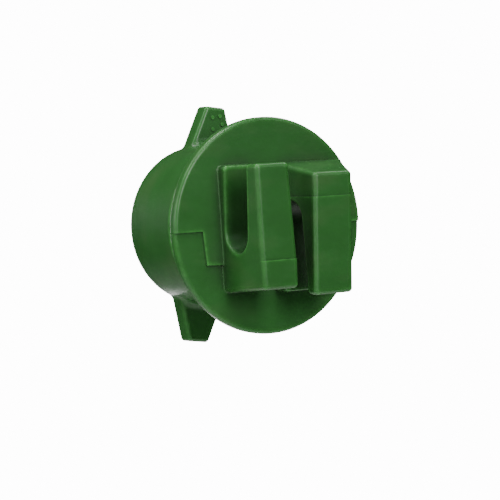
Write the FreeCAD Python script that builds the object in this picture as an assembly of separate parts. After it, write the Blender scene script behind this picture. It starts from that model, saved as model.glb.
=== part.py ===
import FreeCAD, Part
import math
import os
from FreeCAD import Rotation, Vector

# Screw-on electric fence insulator for round rod posts, in millimetres.
# X is to the right seen from the front, Y points to the back and Z is up.
# The origin is where the post's axis crosses the insulator's own axis, which is Y.

# --- Driving dimensions -----------------------------------------------------
POST_R = 4.0                 # the 8 mm rod post that it clamps to
POST_SEAT_HALF_ANGLE = 60.0  # half the arc of the seat that fits the post, degrees
POST_MAX_R = 6.0             # the thickest post that goes into the channel
POST_SIDE_PLAY = 0.3

DISC_R = 25.0
DISC_FRONT_Y = -8.8
DISC_BACK_Y = -6.0
DISC_EDGE_R = 0.8
LOWER_FACE_DEPTH = 0.55      # how far the lower half of the front face is set back
STEP_EDGE_R = 0.2

THREAD_PITCH = 4.0
THREAD_MAJOR_R = 15.5
THREAD_CORE_R = 13.9
THREAD_CREST_WIDTH = 1.0
THREAD_ROOT_WIDTH = 1.9
THREAD_RADIAL_PLAY = 0.35
THREAD_OVERLAP = 0.3         # how deep a ridge is sunk into the wall that carries it

STEM_END_Y = 16.0
COLLAR_R = 16.0              # plain collar behind the disc, where the thread runs out
COLLAR_END_Y = -2.0
STEM_THREAD_START_Y = -3.0
STEM_THREAD_LEAD_IN = 0.8
PRONG_WALL = 2.0
PRONG_POCKET_BOTTOM_Y = 1.0
PRONG_POCKET_CORNER_R = 0.8

NUT_RIM_Y = POST_R           # the nut's rim bears on the back of the post
NUT_BACK_Y = 23.8
NUT_RIM_R = 19.2
NUT_BACK_R = 18.8
NUT_END_WALL = 2.6
NUT_BACK_EDGE_R = 0.6
NUT_RIM_EDGE_R = 0.4
NUT_DISH_R = 13.0            # shallow dish in the nut's closed end
NUT_DISH_DEPTH = 0.8
NUT_TURN = 7.9               # how far the nut stands turned, clockwise from the front
NUT_THREAD_LEAD_IN = 0.6
NUT_THREAD_END_Y = 17.5

WING_FRONT_Y = 19.3
WING_TIP_R = 28.3
WING_TIP_HALF_WIDTH = 2.6
WING_FLARE = 18.2
WING_TIP_CORNER_R = 1.0
WING_FRONT_EDGE_R = 0.8
WING_ROOT_FILLET = 2.0
PIP_R = 0.45                 # small moulding pips on the front of one wing
PIP_HEIGHT = 0.25
PIP_PLACES = [(-0.9, 25.7), (1.1, 26.2), (1.9, 24.3), (-0.6, 22.9)]  # (x, z)

GATE_MARK_R = 1.2
GATE_MARK_TOP_R = 1.0
GATE_MARK_HEIGHT = 0.5

HOOK_FRONT_Y = -25.45
HOOK_STEP = 0.25             # how far the lower part of each hook stands proud
HOOK_EDGE_R = 1.0
HOOK_FOOT_R = 0.3            # where the left hook's outer side runs into the disc
SLOT_EDGE_R = 0.45
SLOT_R = 4.65
HOOK_SUNK = 1.0              # how deep a hook's foot is sunk into the disc
LEFT_TOP = (-13.2, 14.6)     # the left hook's outer side, upper and lower end (x, z)
LEFT_BOTTOM = (-12.5, -15.0)
LEFT_STEP_Z = -6.95
LEFT_SLOT_END = (-15.05, -0.85)  # centre of each slot's round end (y, z)
LEFT_SLOT_LEAN = 5.1         # the slots' open ends lean away from the disc, degrees
RIGHT_STEP_Z = 6.5
RIGHT_SLOT_END = (-15.6, 0.85)
RIGHT_SLOT_LEAN = 8.0
RIGHT_BOTTOM_Z = -16.0
RIGHT_SIDE_X = 10.75         # the right hook's outer side, at its lowest front corner
RIGHT_SIDE_FLARE = 25.5      # how far that side spreads towards the disc, degrees
RIGHT_SIDE_LEAN = 2.4        # how far that side leans outwards going up, degrees

ORIGIN = Vector(0, 0, 0)
AXIS = Vector(0, 1, 0)
OVER = 1.0                   # how far a cutting shape reaches past what it cuts
REACH = 40.0                 # further than anything here goes from the origin
NEAR = 0.01                  # allowance when an edge is found by its place


# --- Small helpers ----------------------------------------------------------
def disc_between(radius, front_y, back_y):
    return Part.makeCylinder(radius, back_y - front_y, Vector(0, front_y, 0), AXIS)


def prism_along_y(outline, front_y, back_y):
    """A straight solid from an outline of (x, z) points."""
    points = [Vector(x, front_y, z) for x, z in outline]
    face = Part.Face(Part.makePolygon(points + points[:1]))
    return face.extrude(Vector(0, back_y - front_y, 0))


def prism_along_x(outline, left_x, right_x):
    """A straight solid from an outline of (y, z) points."""
    points = [Vector(left_x, y, z) for y, z in outline]
    face = Part.Face(Part.makePolygon(points + points[:1]))
    return face.extrude(Vector(right_x - left_x, 0, 0))


def edges_where(shape, test):
    return [edge for edge in shape.Edges if test(edge)]


def middle_of(edge):
    return edge.valueAt((edge.FirstParameter + edge.LastParameter) / 2)


def thread_ridge(start_y, end_y, base_r, tip_r):
    """One right-handed ridge of trapezoid section, turning about the Y axis."""
    helix = Part.makeHelix(THREAD_PITCH, end_y - start_y, base_r)
    half_base = THREAD_ROOT_WIDTH / 2
    half_tip = THREAD_CREST_WIDTH / 2
    corners = [
        Vector(base_r, 0, -half_base),
        Vector(tip_r, 0, -half_tip),
        Vector(tip_r, 0, half_tip),
        Vector(base_r, 0, half_base),
    ]
    section = Part.makePolygon(corners + corners[:1])
    ridge = Part.Wire(helix.Edges).makePipeShell([section], True, True)
    ridge.rotate(ORIGIN, Vector(1, 0, 0), -90)
    ridge.translate(Vector(0, start_y, 0))
    return ridge


# --- Body: disc -------------------------------------------------------------
def rounded_disc(front_y):
    disc = disc_between(DISC_R, front_y, DISC_BACK_Y)
    rims = edges_where(disc, lambda edge: edge.Curve.TypeId == "Part::GeomCircle")
    return disc.makeFillet(DISC_EDGE_R, rims)


def lower_face_outline():
    """The stepped line across the front face, closed round the lower half of the disc."""
    left = [(-26.0, -0.4), (-17.8, -0.4), (-17.0, -8.1), (-13.0, -8.3)]
    right = [(-x, z) for x, z in reversed(left)]
    return left + right + [(26.0, -26.0), (-26.0, -26.0)]


def make_disc():
    """A round plate whose front face drops a little below a stepped line."""
    lower_half = prism_along_y(lower_face_outline(), DISC_FRONT_Y - OVER, DISC_BACK_Y + OVER)
    upper = rounded_disc(DISC_FRONT_Y).cut(lower_half)

    def is_step_edge(edge):
        is_straight = edge.Curve.TypeId == "Part::GeomLine"
        return is_straight and edge.BoundBox.YMax < DISC_FRONT_Y + NEAR

    upper = upper.makeFillet(STEP_EDGE_R, edges_where(upper, is_step_edge))
    lower = rounded_disc(DISC_FRONT_Y + LOWER_FACE_DEPTH).common(lower_half)
    return upper.fuse(lower)


# --- Body: hooks ------------------------------------------------------------
def slot_tool(closed_end, lean, opens_up):
    """A round-ended slot right through in X, closed at one end and open at the other."""
    along = 1 if opens_up else -1
    closed_y, closed_z = closed_end
    middle = Vector(-REACH, closed_y, closed_z)
    round_end = Part.makeCylinder(SLOT_R, 2 * REACH, middle, Vector(1, 0, 0))
    low_z = closed_z if opens_up else closed_z - REACH
    corner = Vector(-REACH, closed_y - SLOT_R, low_z)
    straight = Part.makeBox(2 * REACH, 2 * SLOT_R, REACH, corner)
    tool = round_end.fuse(straight)
    tool.rotate(middle, Vector(1, 0, 0), along * lean)
    return tool


def round_outer_edges(block, step_z):
    """Rounds a block's edges, except those at its foot and those level with the step."""
    foot_y = DISC_FRONT_Y + HOOK_SUNK

    def is_outer(edge):
        box = edge.BoundBox
        is_level = abs(box.ZMin - step_z) < NEAR and abs(box.ZMax - step_z) < NEAR
        return box.YMin < foot_y - NEAR and not is_level

    return block.makeFillet(HOOK_EDGE_R, edges_where(block, is_outer))


def cut_slot(hook, slot):
    """Cuts the slot and rounds the edges where it comes out of the hook's two sides."""
    hook = hook.cut(slot)

    def on_slot_side(edge):
        box = edge.BoundBox
        runs_round_slot = box.XLength < box.ZLength and box.ZLength > SLOT_EDGE_R
        return runs_round_slot and Part.Vertex(middle_of(edge)).distToShape(slot)[0] < NEAR

    side_edges = edges_where(hook, on_slot_side)
    return hook.makeFillet(SLOT_EDGE_R, side_edges) if side_edges else hook


def hook_half(outline, side_solid, front_y, step_z, is_upper):
    """The part of a hook above or below its step, with its outer edges rounded."""
    low_z = step_z if is_upper else step_z - REACH
    level = Part.makeBox(2 * REACH, REACH, REACH, Vector(-REACH, -REACH, low_z))
    block = prism_along_y(outline, front_y, DISC_FRONT_Y + HOOK_SUNK)
    return round_outer_edges(block.common(side_solid).common(level), step_z)


def make_hook(upper_outline, lower_outline, side_solid, slot, step_z):
    """A slotted hook whose front stands a little proud below the step."""
    upper = hook_half(upper_outline, side_solid, HOOK_FRONT_Y, step_z, True)
    lower = hook_half(lower_outline, side_solid, HOOK_FRONT_Y - HOOK_STEP, step_z, False)
    return cut_slot(upper, slot).fuse(cut_slot(lower, slot))


def make_left_hook():
    """Closed at the bottom, its finger standing up."""
    outline = [LEFT_TOP, LEFT_BOTTOM, (-3.5, -15.0), (-3.35, LEFT_STEP_Z), (-4.6, 14.6)]
    side_outline = [(-7.8, -14.6), (-26.0, -13.45), (-26.0, 14.6), (-7.8, 14.15)]
    side = prism_along_x(side_outline, -REACH, REACH)
    slot = slot_tool(LEFT_SLOT_END, LEFT_SLOT_LEAN, True)
    return make_hook(outline, outline, side, slot, LEFT_STEP_Z)


def right_side_cutter():
    """Everything beyond the right hook's outer side, which leans and spreads to the disc."""
    cutter = Part.makeBox(REACH, 2 * REACH, 2 * REACH, Vector(0, -REACH, -REACH / 2))
    cutter.rotate(ORIGIN, Vector(0, 0, 1), -RIGHT_SIDE_FLARE)
    cutter.rotate(ORIGIN, AXIS, RIGHT_SIDE_LEAN)
    cutter.translate(Vector(RIGHT_SIDE_X, HOOK_FRONT_Y, RIGHT_BOTTOM_Z))
    return cutter


def make_right_hook():
    """Closed at the top, its finger hanging down."""
    upper = [(2.2, 15.0), (0.92, RIGHT_BOTTOM_Z), (25.0, RIGHT_BOTTOM_Z), (25.0, 15.0)]
    lower = [(x - HOOK_STEP if x < RIGHT_SIDE_X else x, z) for x, z in upper]
    side_outline = [(-7.8, -15.1), (-26.0, -15.6), (-26.0, 11.8), (-7.8, 14.6)]
    side = prism_along_x(side_outline, -REACH, REACH)
    side = side.cut(right_side_cutter())
    slot = slot_tool(RIGHT_SLOT_END, RIGHT_SLOT_LEAN, False)
    return make_hook(upper, lower, side, slot, RIGHT_STEP_Z)


# --- Body: stem -------------------------------------------------------------
def post_channel():
    """The post's seat, its sloping flanks and the straight channel between the prongs."""
    half_width = POST_MAX_R + POST_SIDE_PLAY
    angle = math.radians(POST_SEAT_HALF_ANGLE)
    seat_x = POST_R * math.sin(angle)
    seat_y = -POST_R * math.cos(angle)
    flank_end_y = seat_y + (half_width - seat_x) * math.tan(angle)
    left = Vector(-seat_x, seat_y, -REACH)
    bottom = Vector(0, -POST_R, -REACH)
    right = Vector(seat_x, seat_y, -REACH)
    corners = [
        right,
        Vector(half_width, flank_end_y, -REACH),
        Vector(half_width, STEM_END_Y + OVER, -REACH),
        Vector(-half_width, STEM_END_Y + OVER, -REACH),
        Vector(-half_width, flank_end_y, -REACH),
        left,
    ]
    sides = [Part.LineSegment(a, b).toShape() for a, b in zip(corners, corners[1:])]
    seat = Part.Arc(left, bottom, right).toShape()
    face = Part.Face(Part.Wire(sides + [seat]))
    return face.extrude(Vector(0, 0, 2 * REACH))


def prong_pocket(side):
    """The hollow that keeps a prong's walls even, open at the prong's end."""
    inner_x = POST_MAX_R + POST_SIDE_PLAY + PRONG_WALL
    hollow = disc_between(THREAD_CORE_R - PRONG_WALL, PRONG_POCKET_BOTTOM_Y, STEM_END_Y + OVER)
    box = Part.makeBox(REACH, 2 * REACH, 2 * REACH, Vector(inner_x, -REACH, -REACH))
    hollow = hollow.common(box)
    corners = edges_where(hollow, lambda edge: edge.BoundBox.YMax - edge.BoundBox.YMin > STEM_END_Y / 2)
    hollow = hollow.makeFillet(PRONG_POCKET_CORNER_R, corners)
    if side < 0:
        hollow.rotate(ORIGIN, AXIS, 180)
    return hollow


def make_stem():
    core = disc_between(THREAD_CORE_R, DISC_BACK_Y - OVER, STEM_END_Y)
    collar = disc_between(COLLAR_R, DISC_BACK_Y - OVER, COLLAR_END_Y)
    ridge = thread_ridge(
        STEM_THREAD_START_Y, STEM_END_Y + THREAD_PITCH, THREAD_CORE_R - THREAD_OVERLAP, THREAD_MAJOR_R
    )
    thread_end_y = STEM_END_Y - STEM_THREAD_LEAD_IN
    ridge = ridge.common(disc_between(THREAD_MAJOR_R + OVER, COLLAR_END_Y - OVER / 2, thread_end_y))
    stem = core.fuse([collar, ridge])
    stem = stem.cut(post_channel())
    for side in (-1, 1):
        stem = stem.cut(prong_pocket(side))
    return stem


def make_body():
    body = make_disc().fuse([make_left_hook(), make_right_hook(), make_stem()]).removeSplitter()

    def is_left_hook_foot(edge):
        middle = middle_of(edge)
        on_face = DISC_FRONT_Y - NEAR < middle.y < DISC_FRONT_Y + LOWER_FACE_DEPTH + NEAR
        beside_hook = LEFT_TOP[0] < middle.x < LEFT_BOTTOM[0]
        return on_face and beside_hook and edge.BoundBox.ZLength > OVER

    return body.makeFillet(HOOK_FOOT_R, edges_where(body, is_left_hook_foot))


# --- Nut --------------------------------------------------------------------
def make_wing():
    """The upper wing: a tapered lug, flush with the nut's closed end, its root inside the drum."""
    root_r = NUT_BACK_R / 2
    root_half_width = WING_TIP_HALF_WIDTH + (WING_TIP_R - root_r) * math.tan(math.radians(WING_FLARE))
    outline = [
        (-root_half_width, root_r),
        (root_half_width, root_r),
        (WING_TIP_HALF_WIDTH, WING_TIP_R),
        (-WING_TIP_HALF_WIDTH, WING_TIP_R),
    ]
    wing = prism_along_y(outline, WING_FRONT_Y, NUT_BACK_Y)

    def is_tip_corner(edge):
        return edge.BoundBox.YLength > OVER and edge.BoundBox.ZMin > WING_TIP_R - NEAR

    def is_front_edge(edge):
        return edge.BoundBox.YMax < WING_FRONT_Y + NEAR and edge.BoundBox.ZMax > root_r + NEAR

    wing = wing.makeFillet(WING_TIP_CORNER_R, edges_where(wing, is_tip_corner))
    return wing.makeFillet(WING_FRONT_EDGE_R, edges_where(wing, is_front_edge))


def make_nut_outside():
    """The drum with its two wings, blended where they meet and rounded round the back."""
    drum = Part.makeCone(NUT_RIM_R, NUT_BACK_R, NUT_BACK_Y - NUT_RIM_Y, Vector(0, NUT_RIM_Y, 0), AXIS)
    drum.rotate(ORIGIN, AXIS, 90)
    wing = make_wing()
    opposite_wing = wing.copy()
    opposite_wing.rotate(ORIGIN, AXIS, 180)
    outside = drum.fuse([wing, opposite_wing]).removeSplitter()

    def is_wing_root(edge):
        middle = middle_of(edge)
        on_drum = NUT_BACK_R - NEAR < math.hypot(middle.x, middle.z) < NUT_RIM_R
        beside_wing = WING_FRONT_Y - NEAR < middle.y < NUT_BACK_Y - NUT_BACK_EDGE_R
        return on_drum and beside_wing and edge.BoundBox.XLength < WING_TIP_R / 2

    outside = outside.makeFillet(WING_ROOT_FILLET, edges_where(outside, is_wing_root))
    back_edges = edges_where(outside, lambda edge: edge.BoundBox.YMin > NUT_BACK_Y - NEAR)
    return outside.makeFillet(NUT_BACK_EDGE_R, back_edges)


def make_nut():
    bore_r = THREAD_MAJOR_R + THREAD_RADIAL_PLAY
    bore = disc_between(bore_r, NUT_RIM_Y - OVER, NUT_BACK_Y - NUT_END_WALL)
    mouth = Part.makeCone(
        bore_r + NUT_RIM_EDGE_R, bore_r, NUT_RIM_EDGE_R, Vector(0, NUT_RIM_Y, 0), AXIS
    )
    dish = disc_between(NUT_DISH_R, NUT_BACK_Y - NUT_DISH_DEPTH, NUT_BACK_Y + OVER)
    shell = make_nut_outside().cut([bore, mouth, dish])
    ridge = thread_ridge(
        STEM_THREAD_START_Y + 1.5 * THREAD_PITCH, NUT_THREAD_END_Y + THREAD_PITCH,
        bore_r + THREAD_OVERLAP, THREAD_CORE_R + THREAD_RADIAL_PLAY,
    )
    ridge = ridge.common(disc_between(bore_r + OVER, NUT_RIM_Y + NUT_THREAD_LEAD_IN, NUT_THREAD_END_Y))
    nut = shell.fuse([ridge] + wing_pips()).removeSplitter()
    nut.rotate(ORIGIN, AXIS, NUT_TURN)
    return nut


def wing_pips():
    """Small pips on the front of the upper wing."""
    pips = []
    for x, z in PIP_PLACES:
        front = Vector(x, WING_FRONT_Y - PIP_HEIGHT, z)
        pips.append(Part.makeCylinder(PIP_R, 2 * PIP_HEIGHT, front, AXIS))
    return pips


def make_gate_mark():
    """The round stub that moulding leaves at the middle of the nut's closed end."""
    floor_y = NUT_BACK_Y - NUT_DISH_DEPTH
    return Part.makeCone(
        GATE_MARK_R, GATE_MARK_TOP_R, GATE_MARK_HEIGHT, Vector(0, floor_y, 0), AXIS
    )


# --- Output -----------------------------------------------------------------
def write(name, shape):
    solid = shape.Solids[0]
    print(name, "solids", len(shape.Solids), "valid", solid.isValid(), "volume", round(solid.Volume, 1))
    solid.exportStep("parts/" + name + ".step")


def main():
    os.makedirs("parts", exist_ok=True)
    write("insulator_body", make_body())
    write("clamp_nut", make_nut())
    write("nut_gate_mark", make_gate_mark())


main()
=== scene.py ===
import math

import bpy
from mathutils import Matrix, Vector


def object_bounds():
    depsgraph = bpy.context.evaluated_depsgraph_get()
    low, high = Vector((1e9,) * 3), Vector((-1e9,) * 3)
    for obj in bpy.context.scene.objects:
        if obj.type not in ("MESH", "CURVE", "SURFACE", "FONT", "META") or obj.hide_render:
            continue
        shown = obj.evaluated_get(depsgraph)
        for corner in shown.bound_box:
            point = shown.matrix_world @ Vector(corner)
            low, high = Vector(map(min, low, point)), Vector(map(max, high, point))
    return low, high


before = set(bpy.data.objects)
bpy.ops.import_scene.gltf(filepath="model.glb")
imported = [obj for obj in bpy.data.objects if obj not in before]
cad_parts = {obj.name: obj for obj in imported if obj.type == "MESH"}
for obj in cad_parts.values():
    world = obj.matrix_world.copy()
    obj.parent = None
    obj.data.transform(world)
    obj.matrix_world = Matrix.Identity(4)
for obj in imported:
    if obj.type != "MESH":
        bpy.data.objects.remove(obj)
cad_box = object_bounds()

MM = 0.001

# --- Camera: a little from the left, a little from above ----------------------
CAMERA_DISTANCE = 0.52
CAMERA_AZIMUTH = math.radians(-31.87)
CAMERA_ELEVATION = math.radians(2.29)
CAMERA_ROLL = math.radians(-2.69)
CAMERA_LENS = 163.1
CAMERA_SHIFT = (-0.0396, -0.0492)
SENSOR_WIDTH = 36.0
CLIP_START = 0.01
CLIP_END = 20.0
FLANGE_FACE_Y = -8.8 * MM        # the camera's target is the middle of the flange's front face

# --- Stage ---------------------------------------------------------------------
FLOOR_DROP = 0.11                # how far the floor lies below the lowest wing
FLOOR_R = 0.36
FLOOR_PLAIN_R = 0.10             # the floor is plain out to here and then fades into the backdrop
FLOOR_CLEAR_R = 0.95 * FLOOR_R   # and has faded away here
FLOOR_STEPS = 96
FLOOR_GREY = (0.78, 0.78, 0.77)
FLOOR_PALE = (0.82, 0.82, 0.81)
WHITE = (1.0, 1.0, 1.0)
BACKDROP_STRENGTH = 14.0         # what the camera sees round the object
AMBIENT_STRENGTH = 0.03          # what lights it from all round

# --- Plastic --------------------------------------------------------------------
GREEN = (0.0225, 0.124, 0.0215)
GREEN_DEEP = (0.0180, 0.106, 0.0170)
# Edge green: partly wear, mostly a painted highlight where the rounded edges catch the light
GREEN_WEAR_AND_HIGHLIGHT = (0.070, 0.34, 0.065)
GREEN_DUSTY = (0.050, 0.125, 0.034)
# Near-black grey painted into slots and gaps as shade
PAINTED_SHADE = (0.022, 0.030, 0.020)
EDGE_REACH = 1.2 * MM            # how far from an edge the lighter green (wear and painted highlight) goes
RECESS_REACH = 14.0 * MM         # a face that has others nearer than this gets painted shade
MASK_SAMPLES = 8
ROUGHNESS = (0.33, 0.44)         # where it is unmarked, and where it is scuffed
EDGE_POLISH = 0.1                # how much smoother the rubbed edges are
SINK_DEPTH = 0.12 * MM           # the slow waves that a thick moulding cools with
SKIN_DEPTH = 0.0025 * MM         # the fine texture of its skin

# --- Lights: name, azimuth, elevation, distance, width and height, power, colour ---
# A soft key in front, panels on the left and above, small greenish lights for the edges,
# and weak ones behind that put a sheen on the drum.
FAR = 0.60
GREENISH = (0.72, 1.0, 0.68)
LIGHTS = [
    ("key", -4.0, 19.0, FAR, (0.18, 0.26), 2.2, WHITE),
    ("left", -82.0, 16.0, FAR, (0.14, 0.22), 1.12, WHITE),
    ("left_high", -108.0, 50.0, FAR, (0.18, 0.18), 1.1, WHITE),
    ("left_back", -125.0, 10.0, FAR, (0.12, 0.12), 0.4, WHITE),
    ("edge_low", -46.0, 1.0, FAR, (0.06, 0.08), 0.3, GREENISH),
    ("edge_high", -42.0, 50.0, FAR, (0.06, 0.06), 0.4, GREENISH),
    ("right_front", 40.0, 24.0, FAR, (0.14, 0.14), 0.2, WHITE),
    ("right_back", 98.0, 50.0, FAR, (0.12, 0.12), 0.75, WHITE),
    ("top_front", -8.0, 70.0, 0.26, (0.08, 0.08), 0.26, WHITE),
    ("top_back", -160.0, 70.0, FAR, (0.16, 0.16), 1.1, WHITE),
    ("behind", 180.0, 3.0, FAR, (0.14, 0.14), 0.45, WHITE),
    ("behind_low", 161.0, -26.0, 0.27, (0.05, 0.04), 0.06, WHITE),
]


def unit_back(azimuth, elevation):
    """The direction from the target to something at that azimuth and elevation."""
    return Vector((
        math.sin(azimuth) * math.cos(elevation),
        -math.cos(azimuth) * math.cos(elevation),
        math.sin(elevation),
    ))


def link(obj):
    bpy.context.scene.collection.objects.link(obj)
    return obj


def make_camera():
    target = Vector((0.0, FLANGE_FACE_Y, 0.0))
    back = unit_back(CAMERA_AZIMUTH, CAMERA_ELEVATION)
    data = bpy.data.cameras.new("camera")
    data.lens = CAMERA_LENS
    data.sensor_width = SENSOR_WIDTH
    data.shift_x, data.shift_y = CAMERA_SHIFT
    data.clip_start = CLIP_START
    data.clip_end = CLIP_END
    camera = link(bpy.data.objects.new("camera", data))
    aim = (-back).to_track_quat("-Z", "Y").to_matrix().to_4x4()
    roll = Matrix.Rotation(CAMERA_ROLL, 4, "Z")
    camera.matrix_world = Matrix.Translation(target + back * CAMERA_DISTANCE) @ aim @ roll
    bpy.context.scene.camera = camera


# --- Node helpers ------------------------------------------------------------------
class Nodes:
    """Adds nodes to a tree and links them, so that a material reads as a short list."""

    def __init__(self, tree):
        self.tree = tree
        self.tree.nodes.clear()

    def add(self, kind, values=None, links=None, **settings):
        node = self.tree.nodes.new(kind)
        for name, value in settings.items():
            setattr(node, name, value)
        for name, value in (values or {}).items():
            node.inputs[name].default_value = value
        for name, source in (links or {}).items():
            self.tree.links.new(source, node.inputs[name])
        return node

    def noise(self, where, scale, detail=3.0, roughness=0.5):
        values = {"Scale": scale, "Detail": detail, "Roughness": roughness}
        return self.add("ShaderNodeTexNoise", values, {"Vector": where}).outputs["Fac"]

    def remap(self, source, low, high, to_low=0.0, to_high=1.0):
        values = {"From Min": low, "From Max": high, "To Min": to_low, "To Max": to_high}
        return self.add("ShaderNodeMapRange", values, {"Value": source}).outputs["Result"]

    def math(self, operation, a, b):
        node = self.add("ShaderNodeMath", operation=operation)
        for socket, value in zip(node.inputs, (a, b)):
            if isinstance(value, (int, float)):
                socket.default_value = value
            else:
                self.tree.links.new(value, socket)
        return node.outputs["Value"]

    def mix(self, factor, a, b):
        node = self.add("ShaderNodeMix", data_type="RGBA")
        for name, value in (("Factor", factor), ("A", a), ("B", b)):
            socket = next(s for s in node.inputs if s.name == name and s.enabled)
            if isinstance(value, tuple):
                socket.default_value = (*value, 1.0)
            else:
                self.tree.links.new(value, socket)
        return next(s for s in node.outputs if s.enabled)

    def bump(self, height, distance, normal=None):
        links = {"Height": height}
        if normal is not None:
            links["Normal"] = normal
        return self.add("ShaderNodeBump", {"Distance": distance}, links).outputs["Normal"]


def openness(nodes, reach, inside):
    """1 where no face lies within reach outside the surface (or inside it), less where one does."""
    node = nodes.add(
        "ShaderNodeAmbientOcclusion", {"Distance": reach},
        samples=MASK_SAMPLES, inside=inside, only_local=True
    )
    return node.outputs["AO"]


def edge_mask(nodes):
    """1 along convex edges, where another face is close behind the surface, and 0 on the faces."""
    return nodes.remap(openness(nodes, EDGE_REACH, True), 0.95, 0.55)


def recess_shade_mask(nodes):
    """Painted shade: towards 1 deep in slots and narrow gaps, and 0 on open faces."""
    return nodes.remap(openness(nodes, RECESS_REACH, False), 0.8, 0.3, 0.0, 0.9)


def moulded_plastic(name, flow_axis_scale, seed):
    """Glossy moulded plastic: mottling, dust, edges lighter with wear and a painted highlight,
    painted shade in slots and gaps, scuffs, sinks and skin.
    """
    material = bpy.data.materials.new(name)
    material.use_nodes = True
    nodes = Nodes(material.node_tree)
    place = nodes.add("ShaderNodeTexCoord").outputs["Object"]
    flow_map = nodes.add(
        "ShaderNodeMapping", {"Location": seed, "Scale": flow_axis_scale}, {"Vector": place}
    ).outputs["Vector"]

    mottle = nodes.remap(nodes.noise(flow_map, 90.0, 4.0, 0.55), 0.35, 0.68)
    specks = nodes.remap(nodes.noise(place, 1400.0, 2.0, 0.6), 0.52, 0.72, 0.0, 0.3)
    dust = nodes.remap(nodes.noise(flow_map, 70.0, 3.0, 0.5), 0.5, 0.75, 0.0, 0.6)
    # Edges made lighter: some wear, mostly a painted highlight along the rounded edges
    wear_and_highlight = edge_mask(nodes)
    rubbing = nodes.remap(nodes.noise(place, 420.0, 4.0, 0.6), 0.4, 0.65, 0.4, 1.0)
    wear_and_highlight = nodes.math("MULTIPLY", wear_and_highlight, rubbing)
    colour = nodes.mix(mottle, GREEN_DEEP, GREEN)
    colour = nodes.mix(specks, colour, GREEN_DEEP)
    colour = nodes.mix(dust, colour, GREEN_DUSTY)
    colour = nodes.mix(wear_and_highlight, colour, GREEN_WEAR_AND_HIGHLIGHT)
    # Painted shade: slots and narrow gaps darkened towards grey-black
    colour = nodes.mix(recess_shade_mask(nodes), colour, PAINTED_SHADE)

    scuffs = nodes.add(
        "ShaderNodeTexNoise", {"Scale": 260.0, "Detail": 6.0, "Roughness": 0.7, "Distortion": 1.5},
        {"Vector": flow_map}
    ).outputs["Fac"]
    rough = nodes.remap(scuffs, 0.3, 0.75, *ROUGHNESS)
    rough = nodes.math("SUBTRACT", rough, nodes.math("MULTIPLY", wear_and_highlight, EDGE_POLISH))

    normal = nodes.bump(nodes.noise(place, 55.0, 1.0, 0.4), SINK_DEPTH)
    normal = nodes.bump(nodes.noise(place, 2600.0, 2.0, 0.5), SKIN_DEPTH, normal)

    shader = nodes.add(
        "ShaderNodeBsdfPrincipled",
        {"IOR": 1.5, "Subsurface Weight": 0.04, "Subsurface Radius": (0.002, 0.004, 0.002),
         "Subsurface Scale": 0.2, "Coat Weight": 0.05, "Coat Roughness": 0.3},
        {"Base Color": colour, "Roughness": rough, "Normal": normal},
    )
    nodes.add("ShaderNodeOutputMaterial", links={"Surface": shader.outputs["BSDF"]})
    return material


def dress(node, material):
    """Gives a CAD node its material."""
    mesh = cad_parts[node].data
    mesh.materials.clear()
    mesh.materials.append(material)


# --- Stage -------------------------------------------------------------------------
def floor_material():
    """Pale and plain under the object, fading into the backdrop towards the rim."""
    material = bpy.data.materials.new("floor_pale")
    material.use_nodes = True
    nodes = Nodes(material.node_tree)
    place = nodes.add("ShaderNodeTexCoord").outputs["Object"]
    distance = nodes.add("ShaderNodeVectorMath", operation="LENGTH")
    nodes.tree.links.new(place, distance.inputs[0])
    fade = nodes.add(
        "ShaderNodeMapRange",
        {"From Min": FLOOR_PLAIN_R, "From Max": FLOOR_CLEAR_R},
        {"Value": distance.outputs["Value"]}, interpolation_type="SMOOTHERSTEP"
    ).outputs["Result"]
    grain = nodes.remap(nodes.noise(place, 40.0, 3.0), 0.3, 0.7)
    colour = nodes.mix(grain, FLOOR_GREY, FLOOR_PALE)
    matt = nodes.add("ShaderNodeBsdfDiffuse", links={"Color": colour}).outputs["BSDF"]
    clear = nodes.add("ShaderNodeBsdfTransparent").outputs["BSDF"]
    shader = nodes.add("ShaderNodeMixShader", links={"Fac": fade})
    nodes.tree.links.new(matt, shader.inputs[1])
    nodes.tree.links.new(clear, shader.inputs[2])
    nodes.add("ShaderNodeOutputMaterial", links={"Surface": shader.outputs["Shader"]})
    return material


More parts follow.
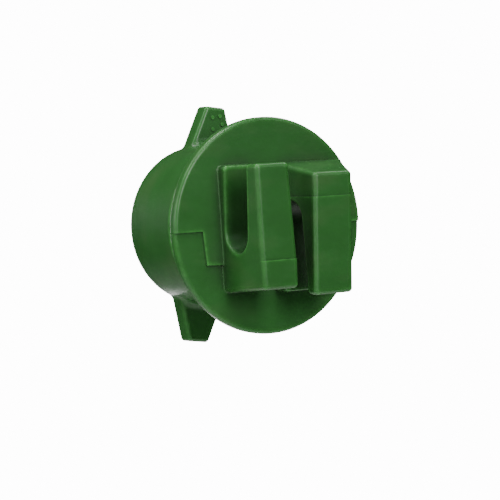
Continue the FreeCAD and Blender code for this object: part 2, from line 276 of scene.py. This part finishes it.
def make_floor():
    angles = [2 * math.pi * i / FLOOR_STEPS for i in range(FLOOR_STEPS)]
    rim = [(FLOOR_R * math.cos(a), FLOOR_R * math.sin(a), 0.0) for a in angles]
    mesh = bpy.data.meshes.new("floor")
    mesh.from_pydata(rim, [], [list(range(FLOOR_STEPS))])
    mesh.materials.append(floor_material())
    floor = link(bpy.data.objects.new("floor", mesh))
    floor.location.z = cad_box[0].z - FLOOR_DROP


def make_area_light(name, azimuth, elevation, distance, size, power, colour):
    """A rectangular soft light that points at the middle of the object."""
    target = (cad_box[0] + cad_box[1]) / 2
    back = unit_back(math.radians(azimuth), math.radians(elevation))
    data = bpy.data.lights.new(name, "AREA")
    data.shape = "RECTANGLE"
    data.size, data.size_y = size
    data.energy = power
    data.color = colour
    light = link(bpy.data.objects.new(name, data))
    light.location = target + back * distance
    light.rotation_mode = "QUATERNION"
    light.rotation_quaternion = (-back).to_track_quat("-Z", "Y")
    light.visible_camera = False


def make_world():
    """White to the camera, and a weaker white all round for soft fill light."""
    world = bpy.data.worlds.new("world")
    bpy.context.scene.world = world
    world.use_nodes = True
    nodes = Nodes(world.node_tree)
    ambient = nodes.add(
        "ShaderNodeBackground", {"Color": (*WHITE, 1.0), "Strength": AMBIENT_STRENGTH}
    ).outputs["Background"]
    backdrop = nodes.add(
        "ShaderNodeBackground", {"Color": (*WHITE, 1.0), "Strength": BACKDROP_STRENGTH}
    ).outputs["Background"]
    seen = nodes.add("ShaderNodeLightPath").outputs["Is Camera Ray"]
    shader = nodes.add("ShaderNodeMixShader", links={"Fac": seen})
    nodes.tree.links.new(ambient, shader.inputs[1])
    nodes.tree.links.new(backdrop, shader.inputs[2])
    nodes.add("ShaderNodeOutputWorld", links={"Surface": shader.outputs["Shader"]})


make_camera()
body_plastic = moulded_plastic("moulded_green_body", (1.0, 1.0, 2.2), (0.0, 0.0, 0.0))
nut_plastic = moulded_plastic("moulded_green_nut", (1.0, 2.0, 1.0), (0.3, 0.1, 0.2))
dress("insulator_body", body_plastic)
dress("clamp_nut", nut_plastic)
dress("nut_gate_mark", nut_plastic)
make_world()
make_floor()
for light in LIGHTS:
    make_area_light(*light)
